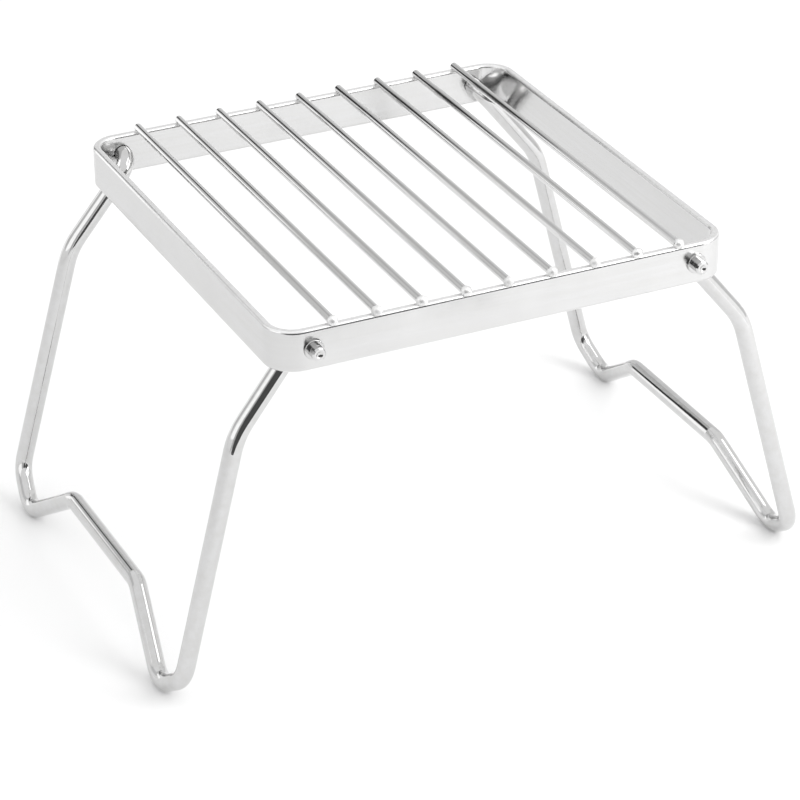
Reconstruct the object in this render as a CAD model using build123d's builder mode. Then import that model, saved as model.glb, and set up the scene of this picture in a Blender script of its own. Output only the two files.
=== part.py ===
"""Folding camp grill: a rectangular band frame, a grate of straight rods and two folding wire legs.

Units are millimetres.  X runs from the left leg to the right leg, Y from the front to the back,
and Z is up.  The origin is on the ground, in the middle of the four feet, with the legs open.
"""
import os
from math import cos, radians, sin

from build123d import *

os.makedirs("parts", exist_ok=True)

# Band frame: one strip of flat steel on edge, bent round four corners
FRAME_WIDTH = 174.0
FRAME_DEPTH = 178.0
BAND_HEIGHT = 15.3
BAND_THICKNESS = 3.0
BAND_CORNER_RADIUS = 11.0
BAND_EDGE_ROUND = 1.0

# Grate: straight rods from the front band to the back band
ROD_COUNT = 9
ROD_PITCH = 16.5
ROD_RADIUS = 1.5
ROD_SEAT_DEPTH = 0.25
ROD_END_SETBACK = 0.8
ROD_END_ROUND = 0.4

# Leg wires, each bent from one rod: pin, elbow, knee, heel, toe and raised arch
WIRE_RADIUS = 3.25
PIVOT_X = 73.2
PIVOT_ABOVE_BAND_BOTTOM = 8.0
UPPER_LEG_LEAN = 38.6
UPPER_LEG_LENGTH = 40.4
LOWER_LEG_LEAN = 14.8

# Each corner of the leg below the knee: distance down the lower leg, and half the leg's width there
HEEL_DROP = 93.0
TOE_DROP = 103.8
ARCH_DROP = 81.2
ELBOW_HALF_WIDTH = 78.5
KNEE_HALF_WIDTH = 79.8
HEEL_HALF_WIDTH = 82.4
TOE_HALF_WIDTH = 66.7
ARCH_HALF_WIDTH = 32.2

ELBOW_BEND = 6.5
KNEE_BEND = 28.0
HEEL_BEND = 10.0
TOE_BEND = 11.0
ARCH_BEND = 9.5

# Pins: the wire ends, turned down from a shoulder inside the band, with a round dimple in each tip
PIN_RADIUS = 2.5
PIN_STICK_OUT = 5.0
PIN_CLEARANCE = 0.1
PIN_END_CHAMFER = 0.5
SHOULDER_GAP = 0.4
DIMPLE_SPHERE_RADIUS = 1.9
DIMPLE_DEPTH = 0.5

# Washers on the four pins, against the outer faces of the band
WASHER_RADIUS = 3.6
WASHER_THICKNESS = 1.0
WASHER_GAP = 0.1
WASHER_BORE_CLEARANCE = 0.02
WASHER_EDGE_ROUND = 0.3

# Half the leg's width at the shoulders and at the pin tips
SHOULDER_HALF_WIDTH = FRAME_DEPTH / 2 - BAND_THICKNESS - SHOULDER_GAP
TIP_HALF_WIDTH = FRAME_DEPTH / 2 + PIN_STICK_OUT


def lean(angle):
    """Unit direction pointing down and outward, leaning by the angle from straight down."""
    return Vector(sin(radians(angle)), 0, -cos(radians(angle)))


def widen(point, half_width):
    """The point moved out to half the leg's width."""
    return Vector(point.X, half_width, point.Z)


def leg_corners(pivot):
    """Corner points of the right leg's wire, from its back shoulder round to its front shoulder."""
    knee = pivot + lean(UPPER_LEG_LEAN) * UPPER_LEG_LENGTH
    heel = knee + lean(LOWER_LEG_LEAN) * HEEL_DROP
    toe = knee + lean(LOWER_LEG_LEAN) * TOE_DROP
    arch = knee + lean(LOWER_LEG_LEAN) * ARCH_DROP
    back_half = [
        widen(pivot, SHOULDER_HALF_WIDTH),
        widen(pivot, ELBOW_HALF_WIDTH),
        widen(knee, KNEE_HALF_WIDTH),
        widen(heel, HEEL_HALF_WIDTH),
        widen(toe, TOE_HALF_WIDTH),
        widen(arch, ARCH_HALF_WIDTH),
    ]
    front_half = [Vector(point.X, -point.Y, point.Z) for point in reversed(back_half)]
    return back_half + front_half


bends = [ELBOW_BEND, KNEE_BEND, HEEL_BEND, TOE_BEND, ARCH_BEND]
leg_bends = bends + bends[::-1]

# The pivots stand as high as the toes reach below them
with BuildLine() as hanging_leg:
    FilletPolyline(*leg_corners(Vector(PIVOT_X, 0, 0)), radius=leg_bends)
toe_reach = WIRE_RADIUS - hanging_leg.line.bounding_box().min.Z

pivot_z = toe_reach
band_bottom_z = pivot_z - PIVOT_ABOVE_BAND_BOTTOM
rod_axis_z = band_bottom_z + BAND_HEIGHT + ROD_RADIUS - ROD_SEAT_DEPTH


def make_band_frame():
    """The bent strip, with a bored hole for each pin and a shallow seat for each rod end."""
    with BuildPart() as band:
        with BuildSketch(Plane.XY.offset(band_bottom_z)):
            RectangleRounded(FRAME_WIDTH, FRAME_DEPTH, BAND_CORNER_RADIUS)
            offset(amount=-BAND_THICKNESS, mode=Mode.SUBTRACT)
        extrude(amount=BAND_HEIGHT)
        rims = band.faces().filter_by(Axis.Z)
        fillet(rims.edges(), BAND_EDGE_ROUND)
        with BuildSketch(Plane.XZ):
            with Locations((-PIVOT_X, pivot_z), (PIVOT_X, pivot_z)):
                Circle(PIN_RADIUS + PIN_CLEARANCE)
            with Locations((0, rod_axis_z)):
                with GridLocations(ROD_PITCH, ROD_PITCH, ROD_COUNT, 1):
                    Circle(ROD_RADIUS)
        extrude(amount=FRAME_DEPTH / 2, both=True, mode=Mode.SUBTRACT)
    return band.part


def make_rod(x):
    """One straight grate rod with softly rounded ends, at the given place across the frame."""
    with BuildPart() as rod:
        with BuildSketch(Plane.XZ):
            with Locations((x, rod_axis_z)):
                Circle(ROD_RADIUS)
        extrude(amount=FRAME_DEPTH / 2 - ROD_END_SETBACK, both=True)
        fillet(rod.edges().filter_by(GeomType.CIRCLE), ROD_END_ROUND)
    return rod.part


def make_leg(side):
    """One leg wire with its two pins; side is 1 for the right leg and -1 for the left leg."""
    corners = [Vector(side * point.X, point.Y, point.Z) for point in leg_corners(Vector(PIVOT_X, 0, pivot_z))]
    with BuildPart() as leg:
        with BuildLine():
            FilletPolyline(*corners, radius=leg_bends)
        with BuildSketch(Plane(origin=corners[0], z_dir=(0, -1, 0))):
            Circle(WIRE_RADIUS)
        sweep()
        for end in (1, -1):
            with BuildSketch(Plane.XZ.offset(end * SHOULDER_HALF_WIDTH)):
                with Locations((side * PIVOT_X, pivot_z)):
                    Circle(PIN_RADIUS)
            extrude(amount=end * (TIP_HALF_WIDTH - SHOULDER_HALF_WIDTH))
        faces_along_pins = leg.faces().filter_by(GeomType.PLANE).filter_by(Axis.Y).sort_by(Axis.Y)
        tips = faces_along_pins[0:1] + faces_along_pins[-1:]
        chamfer(tips.edges(), PIN_END_CHAMFER)
        dimple_y = TIP_HALF_WIDTH + DIMPLE_SPHERE_RADIUS - DIMPLE_DEPTH
        with Locations((side * PIVOT_X, dimple_y, pivot_z), (side * PIVOT_X, -dimple_y, pivot_z)):
            Sphere(DIMPLE_SPHERE_RADIUS, mode=Mode.SUBTRACT)
    return leg.part


def make_washer(side, end):
    """One pin washer; side is 1 for right and -1 for left, end is 1 for front and -1 for back."""
    face = Plane.XZ.offset(end * (FRAME_DEPTH / 2 + WASHER_GAP))
    with BuildPart() as washer:
        with BuildSketch(face):
            with Locations((side * PIVOT_X, pivot_z)):
                Circle(WASHER_RADIUS)
                Circle(PIN_RADIUS + WASHER_BORE_CLEARANCE, mode=Mode.SUBTRACT)
        extrude(amount=end * WASHER_THICKNESS)
        outer_face = washer.faces().filter_by(GeomType.PLANE).sort_by(Axis.Y)[0 if end > 0 else -1]
        fillet(outer_face.outer_wire().edges(), WASHER_EDGE_ROUND)
    return washer.part


def save(piece, name):
    """Label a finished piece and write it as its own STEP file."""
    piece.label = name
    export_step(piece, f"parts/{name}.step")


save(make_band_frame(), "band_frame")

for index in range(ROD_COUNT):
    rod_x = (index - (ROD_COUNT - 1) / 2) * ROD_PITCH
    save(make_rod(rod_x), f"grate_rod_{index + 1}")

for side, side_name in ((-1, "left"), (1, "right")):
    save(make_leg(side), f"{side_name}_leg")
    for end, end_name in ((1, "front"), (-1, "back")):
        save(make_washer(side, end), f"{side_name}_{end_name}_washer")
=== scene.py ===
"""Looks of the folding camp grill: steel finishes, weld beads, studio floor, lights and camera."""

import math
import random

import bmesh
import bpy
from mathutils import Matrix, Vector


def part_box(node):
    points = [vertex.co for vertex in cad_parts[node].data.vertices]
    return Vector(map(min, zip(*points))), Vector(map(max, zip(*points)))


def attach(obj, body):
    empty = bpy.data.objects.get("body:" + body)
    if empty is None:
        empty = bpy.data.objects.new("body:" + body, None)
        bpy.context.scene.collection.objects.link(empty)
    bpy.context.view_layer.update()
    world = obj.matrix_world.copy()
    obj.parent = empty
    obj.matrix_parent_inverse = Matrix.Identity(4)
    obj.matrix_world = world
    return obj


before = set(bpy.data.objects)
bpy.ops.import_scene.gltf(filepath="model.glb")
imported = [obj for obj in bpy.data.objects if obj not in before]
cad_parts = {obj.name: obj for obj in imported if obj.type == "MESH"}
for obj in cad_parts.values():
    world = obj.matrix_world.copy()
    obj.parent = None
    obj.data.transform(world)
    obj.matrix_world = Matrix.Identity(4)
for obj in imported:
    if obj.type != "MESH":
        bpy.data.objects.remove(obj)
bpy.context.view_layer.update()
random.seed(7)

MM = 0.001

# ---------------------------------------------------------------- places taken from the frame
band_low, band_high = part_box("band_frame")
rod_names = sorted(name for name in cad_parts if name.startswith("grate_rod_"))
first_rod_low, first_rod_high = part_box(rod_names[0])
rod_radius = (first_rod_high.x - first_rod_low.x) / 2
rod_axis_z = first_rod_high.z - rod_radius


# ---------------------------------------------------------------- camera
CAMERA_AZIMUTH = math.radians(-25.24)
CAMERA_ELEVATION = math.radians(28.67)
CAMERA_ROLL = math.radians(-0.41)
CAMERA_DISTANCE = 1.19896
CAMERA_SIDE = 0.93 * MM
CAMERA_DROP = 78.34 * MM
CAMERA_LENS = 149.3
CAMERA_SENSOR = 36
CAMERA_NEAR = 0.05
CAMERA_FAR = 50


def add_camera():
    """A long lens looking at a point below the middle of the grate."""
    azimuth, elevation = CAMERA_AZIMUTH, CAMERA_ELEVATION
    back = Vector((math.sin(azimuth) * math.cos(elevation),
                   -math.cos(azimuth) * math.cos(elevation),
                   math.sin(elevation)))
    level_right = Vector((math.cos(azimuth), math.sin(azimuth), 0))
    level_up = back.cross(level_right)
    right = math.cos(CAMERA_ROLL) * level_right + math.sin(CAMERA_ROLL) * level_up
    up = back.cross(right)
    grate_middle = Vector((0, 0, rod_axis_z))
    place = grate_middle + CAMERA_DISTANCE * back + CAMERA_SIDE * right - CAMERA_DROP * up
    data = bpy.data.cameras.new("camera")
    data.lens = CAMERA_LENS
    data.sensor_width = CAMERA_SENSOR
    data.clip_start = CAMERA_NEAR
    data.clip_end = CAMERA_FAR
    camera = bpy.data.objects.new("camera", data)
    bpy.context.collection.objects.link(camera)
    turn = Matrix((right, up, back)).transposed()
    camera.matrix_world = Matrix.Translation(place) @ turn.to_4x4()
    bpy.context.scene.camera = camera


# ---------------------------------------------------------------- materials
# Places of the colour sockets on a mix node, whose other sockets have the same names
MIX_FIRST_COLOUR = 6
MIX_SECOND_COLOUR = 7
MIX_COLOUR_RESULT = 2

# The band's rolling lines and its broad wave, in metres where they are depths
STRIP_GRAIN = (12, 12, 900)
STRIP_GRAIN_DEPTH = 0.000015
STRIP_WAVINESS = 0.0003


def new_material(name):
    material = bpy.data.materials.new(name)
    material.use_nodes = True
    material.node_tree.nodes.clear()
    return material, material.node_tree.nodes, material.node_tree.links


def noise(nodes, links, vector, scale, detail, roughness=0.5):
    """A noise texture on the given vector; returns its grey value."""
    texture = nodes.new("ShaderNodeTexNoise")
    texture.inputs["Scale"].default_value = scale
    texture.inputs["Detail"].default_value = detail
    texture.inputs["Roughness"].default_value = roughness
    links.new(vector, texture.inputs["Vector"])
    return texture.outputs["Fac"]


def stretched(nodes, links, vector, scale):
    """The vector scaled by a factor for each axis, so that a noise on it runs in lines."""
    mapping = nodes.new("ShaderNodeMapping")
    mapping.inputs["Scale"].default_value = scale
    links.new(vector, mapping.inputs["Vector"])
    return mapping.outputs["Vector"]


def remap(nodes, links, value, low, high, to_low, to_high):
    """The value moved from one range to another, held inside it."""
    node = nodes.new("ShaderNodeMapRange")
    node.inputs["From Min"].default_value = low
    node.inputs["From Max"].default_value = high
    node.inputs["To Min"].default_value = to_low
    node.inputs["To Max"].default_value = to_high
    links.new(value, node.inputs["Value"])
    return node.outputs["Result"]


def arithmetic(nodes, links, operation, first, second):
    """One maths node; each input is a socket or a number."""
    node = nodes.new("ShaderNodeMath")
    node.operation = operation
    for socket, value in zip(node.inputs, (first, second)):
        if isinstance(value, (int, float)):
            socket.default_value = value
        else:
            links.new(value, socket)
    return node.outputs["Value"]


def grey_ramp(nodes, links, value, low, dark, high, light):
    """A ramp from a dark, slightly warm grey to a light, slightly cool one."""
    ramp = nodes.new("ShaderNodeValToRGB")
    ramp.color_ramp.elements[0].position = low
    ramp.color_ramp.elements[0].color = (dark * 1.004, dark, dark * 0.992, 1)
    ramp.color_ramp.elements[1].position = high
    ramp.color_ramp.elements[1].color = (light, light, light * 1.004, 1)
    links.new(value, ramp.inputs["Fac"])
    return ramp.outputs["Color"]


def bump(nodes, links, height, distance, normal=None):
    """A bump of the given depth in metres, on top of another normal if there is one."""
    node = nodes.new("ShaderNodeBump")
    node.inputs["Strength"].default_value = 1.0
    node.inputs["Distance"].default_value = distance
    links.new(height, node.inputs["Height"])
    if normal is not None:
        links.new(normal, node.inputs["Normal"])
    return node.outputs["Normal"]


def steel_shader(material, nodes, links, colour, roughness, normal):
    """The metal shader and the material output."""
    steel = nodes.new("ShaderNodeBsdfPrincipled")
    steel.inputs["Metallic"].default_value = 1.0
    links.new(colour, steel.inputs["Base Color"])
    links.new(roughness, steel.inputs["Roughness"])
    links.new(normal, steel.inputs["Normal"])
    output = nodes.new("ShaderNodeOutputMaterial")
    links.new(steel.outputs["BSDF"], output.inputs["Surface"])
    return material


def polished_steel(name, tint, roughness, grain, grain_depth, waviness):
    """Bright drawn steel: stretched grain lines, soft roughness patches, duller smears and a faint
    hand-polished wave."""
    material, nodes, links = new_material(name)
    place = nodes.new("ShaderNodeTexCoord").outputs["Object"]
    drawn = stretched(nodes, links, place, grain)
    lines = noise(nodes, links, drawn, scale=1.0, detail=6.0, roughness=0.65)
    patches = noise(nodes, links, place, scale=60.0, detail=3.0)
    wave = noise(nodes, links, place, scale=22.0, detail=1.5)
    smears = noise(nodes, links, place, scale=9.0, detail=4.0, roughness=0.6)
    rough = remap(nodes, links, patches, 0.3, 0.7, roughness * 0.6, roughness * 1.5)
    dulled = remap(nodes, links, smears, 0.55, 0.75, 0.0, roughness * 0.6)
    worn = arithmetic(nodes, links, "ADD", rough, dulled)
    colour = grey_ramp(nodes, links, lines, 0.35, tint * 0.93, 0.65, tint)
    fine = bump(nodes, links, lines, grain_depth)
    broad = bump(nodes, links, wave, waviness, fine)
    return steel_shader(material, nodes, links, colour, worn, broad)


def strip_steel(name, tint, roughness, edge_tint_and_highlight):
    """The band's cold-rolled strip: faint lines along its faces, and duller slit edges above and
    below, whose paler colour is partly the sheared edges' own finish and partly a painted highlight on
    the faces that point up and down."""
    material, nodes, links = new_material(name)
    coordinates = nodes.new("ShaderNodeTexCoord")
    place = coordinates.outputs["Object"]
    split = nodes.new("ShaderNodeSeparateXYZ")
    links.new(coordinates.outputs["Normal"], split.inputs["Vector"])
    up_or_down = arithmetic(nodes, links, "ABSOLUTE", split.outputs["Z"], 0.0)
    edge = remap(nodes, links, up_or_down, 0.35, 0.75, 0.0, 1.0)

    rolled = stretched(nodes, links, place, STRIP_GRAIN)
    lines = noise(nodes, links, rolled, scale=1.0, detail=6.0, roughness=0.65)
    burrs = noise(nodes, links, place, scale=700.0, detail=4.0, roughness=0.6)
    patches = noise(nodes, links, place, scale=45.0, detail=3.0)
    wave = noise(nodes, links, place, scale=16.0, detail=1.0)
    smears = noise(nodes, links, place, scale=12.0, detail=4.0, roughness=0.6)

    face_rough = remap(nodes, links, patches, 0.3, 0.7, roughness * 0.7, roughness * 1.4)
    dulled = remap(nodes, links, smears, 0.5, 0.75, 0.0, 0.10)
    smeared = arithmetic(nodes, links, "ADD", face_rough, dulled)
    edge_rough = arithmetic(nodes, links, "MULTIPLY", edge, 0.06)
    rough = arithmetic(nodes, links, "ADD", smeared, edge_rough)

    face_colour = grey_ramp(nodes, links, lines, 0.35, tint * 0.95, 0.65, tint)
    # Faces pointing up and down get a paler metal colour: partly the slit edges' own finish, partly a
    # painted highlight on the band's top.
    edge_colour_and_highlight = grey_ramp(nodes, links, burrs, 0.30, edge_tint_and_highlight * 0.90, 0.60, edge_tint_and_highlight)
    blend = nodes.new("ShaderNodeMix")
    blend.data_type = "RGBA"
    links.new(edge, blend.inputs["Factor"])
    links.new(face_colour, blend.inputs[MIX_FIRST_COLOUR])
    links.new(edge_colour_and_highlight, blend.inputs[MIX_SECOND_COLOUR])

    fine = bump(nodes, links, lines, STRIP_GRAIN_DEPTH)
    broad = bump(nodes, links, wave, STRIP_WAVINESS, fine)
    return steel_shader(material, nodes, links, blend.outputs[MIX_COLOUR_RESULT], rough, broad)


def dress(name, material):
    """Gives a carried-over CAD node its finish."""
    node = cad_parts[name]
    node.data.materials.clear()
    node.data.materials.append(material)


# ---------------------------------------------------------------- studio
FLOOR_HALF_SIZE = 6.0
FLOOR_COLOUR = (0.93, 0.93, 0.93, 1)
WALL_EYE_HEIGHT = 0.13
WALL_STEP_DEGREES = 5
BOOM_Y = 0.40


def add_floor():
    half = FLOOR_HALF_SIZE
    mesh = bpy.data.meshes.new("floor")
    corners = [(-half, -half, 0), (half, -half, 0), (half, half, 0), (-half, half, 0)]
    mesh.from_pydata(corners, [], [(0, 1, 2, 3)])
    floor = bpy.data.objects.new("floor", mesh)
    bpy.context.collection.objects.link(floor)
    material, nodes, links = new_material("studio_floor")
    paper = nodes.new("ShaderNodeBsdfDiffuse")
    paper.inputs["Color"].default_value = FLOOR_COLOUR
    output = nodes.new("ShaderNodeOutputMaterial")
    links.new(paper.outputs["BSDF"], output.inputs["Surface"])
    mesh.materials.append(material)


def add_world():
    world = bpy.data.worlds.new("studio")
    world.use_nodes = True
    background = world.node_tree.nodes["Background"]
    background.inputs["Color"].default_value = (1, 1, 1, 1)
    background.inputs["Strength"].default_value = 1.0
    bpy.context.scene.world = world


def add_area_light(name, place, target, size, power):
    data = bpy.data.lights.new(name, "AREA")
    data.shape = "RECTANGLE"
    data.size, data.size_y = size
    data.energy = power
    light = bpy.data.objects.new(name, data)
    bpy.context.collection.objects.link(light)
    light.location = place
    light.rotation_mode = "QUATERNION"
    light.rotation_quaternion = (Vector(target) - Vector(place)).to_track_quat("-Z", "Y")
    light.visible_camera = False


def glow_card(name, vertices, faces, brightness):
    """An evenly lit card that only reflections see."""
    mesh = bpy.data.meshes.new(name)
    mesh.from_pydata(vertices, [], faces)
    card = bpy.data.objects.new(name, mesh)
    bpy.context.collection.objects.link(card)
    card.visible_camera = False
    card.visible_diffuse = False
    card.visible_shadow = False
    material, nodes, links = new_material(name)
    glow = nodes.new("ShaderNodeEmission")
    glow.inputs["Color"].default_value = (1, 1, 1, 1)
    glow.inputs["Strength"].default_value = brightness
    output = nodes.new("ShaderNodeOutputMaterial")
    links.new(glow.outputs["Emission"], output.inputs["Surface"])
    mesh.materials.append(material)


def add_studio_wall(name, start, end, bottom, top, distance, brightness):
    """A curved card round the object between two compass directions in degrees (0 behind the grill, 90 on
    its right) and two elevations in degrees as seen from the grate."""
    steps = max(2, int(abs(end - start) / WALL_STEP_DEGREES))
    vertices = []
    for step in range(steps + 1):
        direction = math.radians(start + (end - start) * step / steps)
        for elevation in (bottom, top):
            height = WALL_EYE_HEIGHT + distance * math.tan(math.radians(elevation))
            x, y = distance * math.sin(direction), distance * math.cos(direction)
            vertices.append((x, y, max(height, 0.0)))
    faces = [(2 * i, 2 * i + 2, 2 * i + 3, 2 * i + 1) for i in range(steps)]
    glow_card(name, vertices, faces, brightness)


def add_folding_screen(name, corners, brightness):
    """An upright card folded at the given corners, each (x, y, bottom, top)."""
    vertices = []
    for x, y, bottom, top in corners:
        vertices.extend([(x, y, bottom), (x, y, top)])
    faces = [(2 * i, 2 * i + 2, 2 * i + 3, 2 * i + 1) for i in range(len(corners) - 1)]
    glow_card(name, vertices, faces, brightness)


def add_boom(name, corners, half_width, brightness):
    """A narrow upright card behind the grill that bends through (x, height above the rods) corners."""
    vertices = []
    for index, (x, height) in enumerate(corners):
        before = corners[max(index - 1, 0)]
        after = corners[min(index + 1, len(corners) - 1)]
        run = Vector((after[0] - before[0], after[1] - before[1])).normalized()
        for offset in (-half_width, half_width):
            vertices.append((x - run.y * offset, BOOM_Y, rod_axis_z + height + run.x * offset))
    faces = [(2 * i, 2 * i + 2, 2 * i + 3, 2 * i + 1) for i in range(len(corners) - 1)]
    glow_card(name, vertices, faces, brightness)


# ---------------------------------------------------------------- weld beads
BEAD_HALF_WIDTH = 2.0 * MM
BEAD_HALF_DEPTH = 1.7 * MM
BEAD_HALF_HEIGHT = 1.9 * MM
BEAD_LIFT = 1.0 * MM
BEAD_INSET = 1.1 * MM
BACK_BEAD_SIZE = 0.70
BACK_BEAD_LIFT = 0.1 * MM
BEAD_RIPPLE_ACROSS = 0.035
BEAD_RIPPLE_ALONG = 0.03
BEAD_RIPPLE_RATE_ACROSS = 9
BEAD_RIPPLE_RATE_ALONG = 5
BEAD_BELLY = 0.12
BEAD_DOME = 0.85
BEAD_RINGS = 10
BEAD_SEGMENTS = 20


def add_weld_bead(name, rod_x, end, material):
    """The blob of weld over one rod end, on the band's top edge; end is 1 for the front and -1 for the
    back, where the beads are smaller and lie lower."""
    lean = random.uniform(0.1, 0.6) * MM
    squash = random.uniform(0.9, 1.08)
    ripple_phase = random.uniform(0, math.tau)
    edge_y = band_low.y if end > 0 else band_high.y
    size = 1.0 if end > 0 else BACK_BEAD_SIZE
    lift = BEAD_LIFT if end > 0 else BACK_BEAD_LIFT
    centre = Vector((rod_x + lean, edge_y + end * BEAD_INSET, band_high.z + lift))
    shape = bmesh.new()
    rings = []
    for ring in range(1, BEAD_RINGS):
        polar = math.pi * ring / BEAD_RINGS
        ring_radius = math.sin(polar)
        loop = []
        for segment in range(BEAD_SEGMENTS):
            turn = math.tau * segment / BEAD_SEGMENTS
            around = Vector((math.cos(turn) * ring_radius, math.sin(turn) * ring_radius, math.cos(polar)))
            across = math.sin(BEAD_RIPPLE_RATE_ACROSS * around.x + ripple_phase)
            along = math.sin(BEAD_RIPPLE_RATE_ALONG * around.y + 2 * ripple_phase)
            ripple = 1 + BEAD_RIPPLE_ACROSS * across + BEAD_RIPPLE_ALONG * along
            belly = 1 + BEAD_BELLY * (around.x if around.x > 0 else 0)
            loop.append(shape.verts.new(centre + size * Vector((
                around.x * BEAD_HALF_WIDTH * squash * belly * ripple,
                around.y * BEAD_HALF_DEPTH * ripple,
                math.copysign(abs(around.z) ** BEAD_DOME, around.z) * BEAD_HALF_HEIGHT * ripple))))
        rings.append(loop)
    top = shape.verts.new(centre + size * Vector((0, 0, BEAD_HALF_HEIGHT)))
    bottom = shape.verts.new(centre - size * Vector((0, 0, BEAD_HALF_HEIGHT)))
    for segment in range(BEAD_SEGMENTS):
        following = (segment + 1) % BEAD_SEGMENTS
        shape.faces.new((top, rings[0][segment], rings[0][following]))
        shape.faces.new((bottom, rings[-1][following], rings[-1][segment]))
        for upper, lower in zip(rings, rings[1:]):
            shape.faces.new((upper[segment], lower[segment], lower[following], upper[following]))
    for face in shape.faces:
        face.smooth = True
    mesh = bpy.data.meshes.new(name)
    shape.to_mesh(mesh)
    shape.free()
    mesh.materials.append(material)
    bead = bpy.data.objects.new(name, mesh)
    bpy.context.collection.objects.link(bead)
    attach(bead, "frame")


bpy.context.scene.view_settings.view_transform = "Standard"
add_camera()
add_world()
add_floor()
add_area_light("key_softbox", place=(0.75, -0.55, 1.0), target=(0, 0, 0.05), size=(0.9, 0.9), power=5.0)
add_area_light("front_right_fill", place=(0.55, -0.60, 0.35), target=(0.25, -0.33, 0),
               size=(0.4, 0.4), power=1.6)
add_studio_wall("back_wall", start=19, end=60, bottom=0, top=35, distance=1.6, brightness=0.83)
add_studio_wall("back_wall_centre", start=0, end=19, bottom=0, top=27, distance=1.6, brightness=0.80)
add_studio_wall("overhead_back_card", start=-21, end=19, bottom=28, top=41, distance=1.5, brightness=0.60)
add_studio_wall("back_left_wall", start=-72, end=0, bottom=3, top=30, distance=0.6, brightness=0.72)
add_studio_wall("back_left_softbox", start=-39, end=-28, bottom=-14, top=16, distance=0.55, brightness=1.5)
add_studio_wall("left_softbox", start=-122, end=-78, bottom=6, top=36, distance=1.2, brightness=1.5)
add_folding_screen("room_behind_camera", [
    (0.27, -0.40, 0.02, 0.30),
    (0.0, -0.45, 0, 0.30),
    (-0.19, -0.36, 0.02, 0.30),
    (-0.27, -0.25, 0.07, 0.28),
], brightness=0.10)
add_studio_wall("front_left_screen", start=-136, end=-120, bottom=-6, top=28, distance=0.6, brightness=0.60)
add_studio_wall("right_low_panel", start=112, end=150, bottom=-16, top=-3, distance=0.5, brightness=1.35)
add_studio_wall("right_grey_wall", start=78, end=112, bottom=-10, top=4, distance=0.8, brightness=0.85)
add_boom("left_boom", [
    (-0.010, 0.262),
    (-0.080, 0.222),
    (-0.118, 0.172),
    (-0.145, 0.100),
    (-0.160, 0.010),
], half_width=0.034, brightness=0.05)

# The 0.90 edge tint is partly the slit edges' finish and partly a painted highlight on the band's top
# faces.
band_steel = strip_steel("band_steel", tint=0.665, roughness=0.17, edge_tint_and_highlight=0.90)
rod_steel = polished_steel("rod_steel", tint=0.69, roughness=0.06,
                           grain=(900, 12, 900), grain_depth=0.00001, waviness=0.0001)
leg_steel = polished_steel("leg_steel", tint=0.64, roughness=0.05,
                           grain=(300, 300, 300), grain_depth=0.00001, waviness=0.0001)
washer_steel = polished_steel("washer_steel", tint=0.60, roughness=0.14,
                              grain=(500, 500, 500), grain_depth=0.00001, waviness=0.0)
bead_steel = polished_steel("bead_steel", tint=0.86, roughness=0.50,
                            grain=(400, 400, 400), grain_depth=0.00003, waviness=0.0002)
dress("band_frame", band_steel)
for rod_name in rod_names:
    dress(rod_name, rod_steel)
    rod_low, rod_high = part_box(rod_name)
    rod_number = rod_name.rsplit("_", 1)[1]
    rod_middle_x = (rod_low.x + rod_high.x) / 2
    add_weld_bead(f"front_weld_bead_{rod_number}", rod_middle_x, 1, bead_steel)
    add_weld_bead(f"back_weld_bead_{rod_number}", rod_middle_x, -1, bead_steel)
for side in ("left", "right"):
    dress(f"{side}_leg", leg_steel)
    for end in ("front", "back"):
        dress(f"{side}_{end}_washer", washer_steel)
